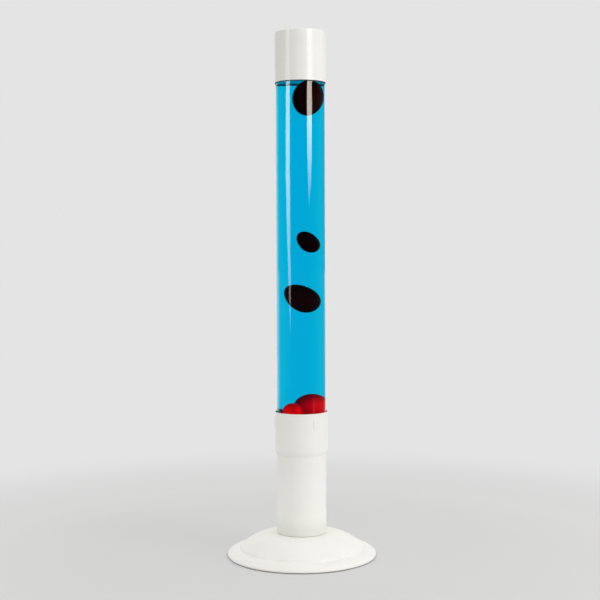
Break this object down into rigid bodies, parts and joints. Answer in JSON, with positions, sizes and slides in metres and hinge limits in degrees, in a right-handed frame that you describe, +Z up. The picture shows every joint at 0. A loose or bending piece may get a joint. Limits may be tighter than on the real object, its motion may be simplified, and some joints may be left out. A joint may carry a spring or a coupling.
{
  "type": "lava lamp",
  "caption": "Tall floor-standing lava lamp: white saucer base and stem with the bulb inside, a collar, a glass cylinder of blue liquid with drifting red wax, and a lift-off cap.",
  "frame": {"origin": "on the floor, on the lamp's axis", "axes": "+Z up along the lamp's axis, -Y to the front that the picture shows, +X to its right"},
  "size_m": [0.3, 0.3, 1.05],
  "materials": {
    "white_paint": "satin",
    "clear_glass": "gloss",
    "bulb_glass": "satin",
    "blue_liquid": "gloss",
    "red_wax": "satin",
    "cast_iron": "matte",
    "zinc_steel": "satin",
    "black_rubber": "matte",
    "silicone": "satin",
    "foam": "matte",
    "porcelain": "gloss",
    "brass": "polished",
    "nickel_brass": "satin",
    "black_plastic": "satin",
    "white_plastic": "satin",
    "brown_insulation": "satin",
    "blue_insulation": "satin",
    "green_insulation": "satin"
  },
  "bodies": {
    "base": {"base_dome": "white_paint", "foot_pads": "black_rubber", "base_plate": "zinc_steel", "ballast_disc": "cast_iron", "spacer_tube": "zinc_steel", "tie_rod": "zinc_steel", "rod_washers": "zinc_steel", "rod_nuts": "zinc_steel", "stem_tube": "white_paint", "stem_bridge": "zinc_steel", "collar": "white_paint", "seat_ring": "zinc_steel", "seat_gasket": "silicone", "cable_bush": "black_rubber", "lampholder": "porcelain", "lampholder_shell": "brass", "centre_contact": "brass", "shell_contact": "brass", "terminal_block": "white_plastic", "pole_screws": "brass", "block_screws": "zinc_steel", "live_lead": "brown_insulation", "neutral_lead": "blue_insulation", "earth_lead": "green_insulation", "earth_tag": "brass", "earth_screw": "brass"},
    "bulb": {"bulb_envelope": "bulb_glass", "bulb_cap": "nickel_brass", "bulb_insulator": "black_plastic", "bulb_tip": "nickel_brass"},
    "bottle": {"glass_bottle": "clear_glass", "bottle_stopper": "black_plastic", "stopper_seal": "black_rubber", "filler_plug": "brass", "liquid": "blue_liquid", "wax_pool": "red_wax", "wax_coil": "zinc_steel", "wax_mound_large": "red_wax", "wax_mound_small": "red_wax"},
    "top_wax": {"wax_blob_top": "red_wax"},
    "middle_wax": {"wax_blob_middle": "red_wax"},
    "lower_wax": {"wax_blob_lower": "red_wax"},
    "cap": {"top_cap": "white_paint", "cap_pad": "foam"}
  },
  "joints": [
    {"name": "bottle_lift", "type": "slide", "parent": "base", "child": "bottle", "axis": [0, 0, 1], "range_m": [0, 0.1]},
    {"name": "cap_lift", "type": "slide", "parent": "bottle", "child": "cap", "axis": [0, 0, 1], "range_m": [0, 0.12]},
    {"name": "bulb_turn", "type": "hinge", "parent": "base", "child": "bulb", "pos_m": [0, 0, 0.1], "axis": [0, 0, 1], "range_deg": [0, 1800]},
    {"name": "top_wax_drift", "type": "slide", "parent": "bottle", "child": "top_wax", "axis": [0, 0, 1], "range_m": [-0.19, 0.045], "deforming": ["liquid"]},
    {"name": "middle_wax_drift", "type": "slide", "parent": "bottle", "child": "middle_wax", "axis": [0, 0, 1], "range_m": [-0.03, 0.035], "deforming": ["liquid"]},
    {"name": "lower_wax_drift", "type": "slide", "parent": "bottle", "child": "lower_wax", "axis": [0, 0, 1], "range_m": [-0.15, 0.03], "deforming": ["liquid"]}
  ]
}
